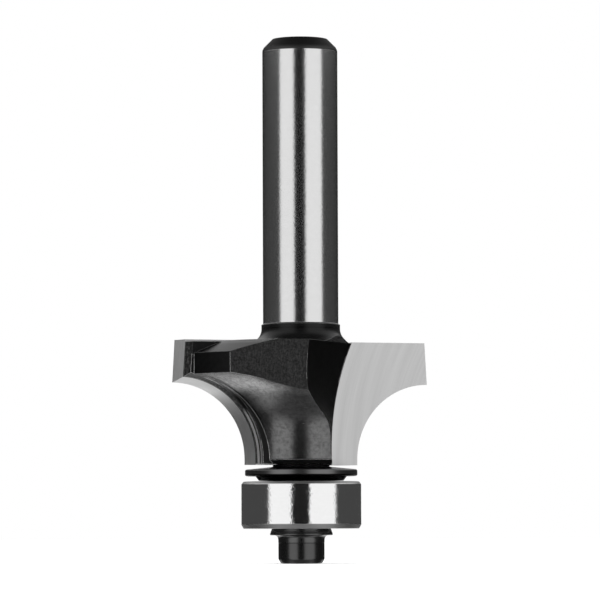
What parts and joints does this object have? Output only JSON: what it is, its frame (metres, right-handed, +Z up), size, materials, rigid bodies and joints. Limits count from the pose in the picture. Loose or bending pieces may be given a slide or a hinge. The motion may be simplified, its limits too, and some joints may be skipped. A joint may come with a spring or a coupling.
{
  "type": "router bit",
  "caption": "Rounding-over router bit: straight shank, winged body with brazed carbide tips of concave profile, and a guide ball bearing held at the nose by a collar and socket screw.",
  "frame": {"origin": "centre of the flat end of the retaining screw, on the axis of the bit, where it stands", "axes": "+Z up the axis toward the shank; one tip's cutting edge lies 20 degrees from +X toward +Y and the other opposite it; the bit cuts when it turns clockwise seen from +Z"},
  "size_m": [0.027, 0.0224, 0.0557],
  "materials": {
    "body_steel": "shank ground bright, head blackened and lightly textured",
    "carbide": "tungsten carbide with ground faces",
    "braze": "silver braze, darkened",
    "turned_steel": "fine turned, darkened",
    "bearing_steel": "ground bright",
    "ball_steel": "polished",
    "cage_steel": "pressed",
    "shield_steel": "pressed, satin",
    "screw_steel": "turned, dark"
  },
  "bodies": {
    "root": {"cutter_body": "body_steel", "carbide_tip_1": "carbide", "carbide_tip_2": "carbide", "braze_seam_1": "braze", "braze_seam_2": "braze", "dust_washer": "turned_steel", "bearing_inner_ring": "bearing_steel", "clamp_collar": "turned_steel", "retaining_screw": "screw_steel"},
    "outer_ring": {"bearing_outer_ring": "bearing_steel", "bearing_shield_upper": "shield_steel", "bearing_shield_lower": "shield_steel"},
    "cage": {"bearing_cage_upper": "cage_steel", "bearing_cage_lower": "cage_steel"},
    "ball_1": {"bearing_ball_1": "ball_steel"},
    "ball_2": {"bearing_ball_2": "ball_steel"},
    "ball_3": {"bearing_ball_3": "ball_steel"},
    "ball_4": {"bearing_ball_4": "ball_steel"},
    "ball_5": {"bearing_ball_5": "ball_steel"},
    "ball_6": {"bearing_ball_6": "ball_steel"},
    "ball_7": {"bearing_ball_7": "ball_steel"}
  },
  "joints": [
    {"name": "outer_ring_spin", "type": "hinge", "parent": "root", "child": "outer_ring", "pos_m": [0, 0, 0.00619], "axis": [0, 0, 1], "continuous": true},
    {"name": "cage_spin", "type": "hinge", "parent": "root", "child": "cage", "pos_m": [0, 0, 0.00619], "axis": [0, 0, 1], "continuous": true},
    {"name": "ball_1_spin", "type": "hinge", "parent": "cage", "child": "ball_1", "pos_m": [0.00437, 0, 0.00619], "axis": [0, 0, 1], "continuous": true},
    {"name": "ball_2_spin", "type": "hinge", "parent": "cage", "child": "ball_2", "pos_m": [0.00272, 0.00342, 0.00619], "axis": [0, 0, 1], "continuous": true},
    {"name": "ball_3_spin", "type": "hinge", "parent": "cage", "child": "ball_3", "pos_m": [-0.00097, 0.00426, 0.00619], "axis": [0, 0, 1], "continuous": true},
    {"name": "ball_4_spin", "type": "hinge", "parent": "cage", "child": "ball_4", "pos_m": [-0.00394, 0.0019, 0.00619], "axis": [0, 0, 1], "continuous": true},
    {"name": "ball_5_spin", "type": "hinge", "parent": "cage", "child": "ball_5", "pos_m": [-0.00394, -0.0019, 0.00619], "axis": [0, 0, 1], "continuous": true},
    {"name": "ball_6_spin", "type": "hinge", "parent": "cage", "child": "ball_6", "pos_m": [-0.00097, -0.00426, 0.00619], "axis": [0, 0, 1], "continuous": true},
    {"name": "ball_7_spin", "type": "hinge", "parent": "cage", "child": "ball_7", "pos_m": [0.00272, -0.00342, 0.00619], "axis": [0, 0, 1], "continuous": true}
  ],
  "couplings": [
    {"joint": "cage_spin", "follows": "outer_ring_spin", "ratio": 0.63621},
    {"joint": "ball_1_spin", "follows": "outer_ring_spin", "ratio": 1.6991},
    {"joint": "ball_2_spin", "follows": "outer_ring_spin", "ratio": 1.6991},
    {"joint": "ball_3_spin", "follows": "outer_ring_spin", "ratio": 1.6991},
    {"joint": "ball_4_spin", "follows": "outer_ring_spin", "ratio": 1.6991},
    {"joint": "ball_5_spin", "follows": "outer_ring_spin", "ratio": 1.6991},
    {"joint": "ball_6_spin", "follows": "outer_ring_spin", "ratio": 1.6991},
    {"joint": "ball_7_spin", "follows": "outer_ring_spin", "ratio": 1.6991}
  ]
}
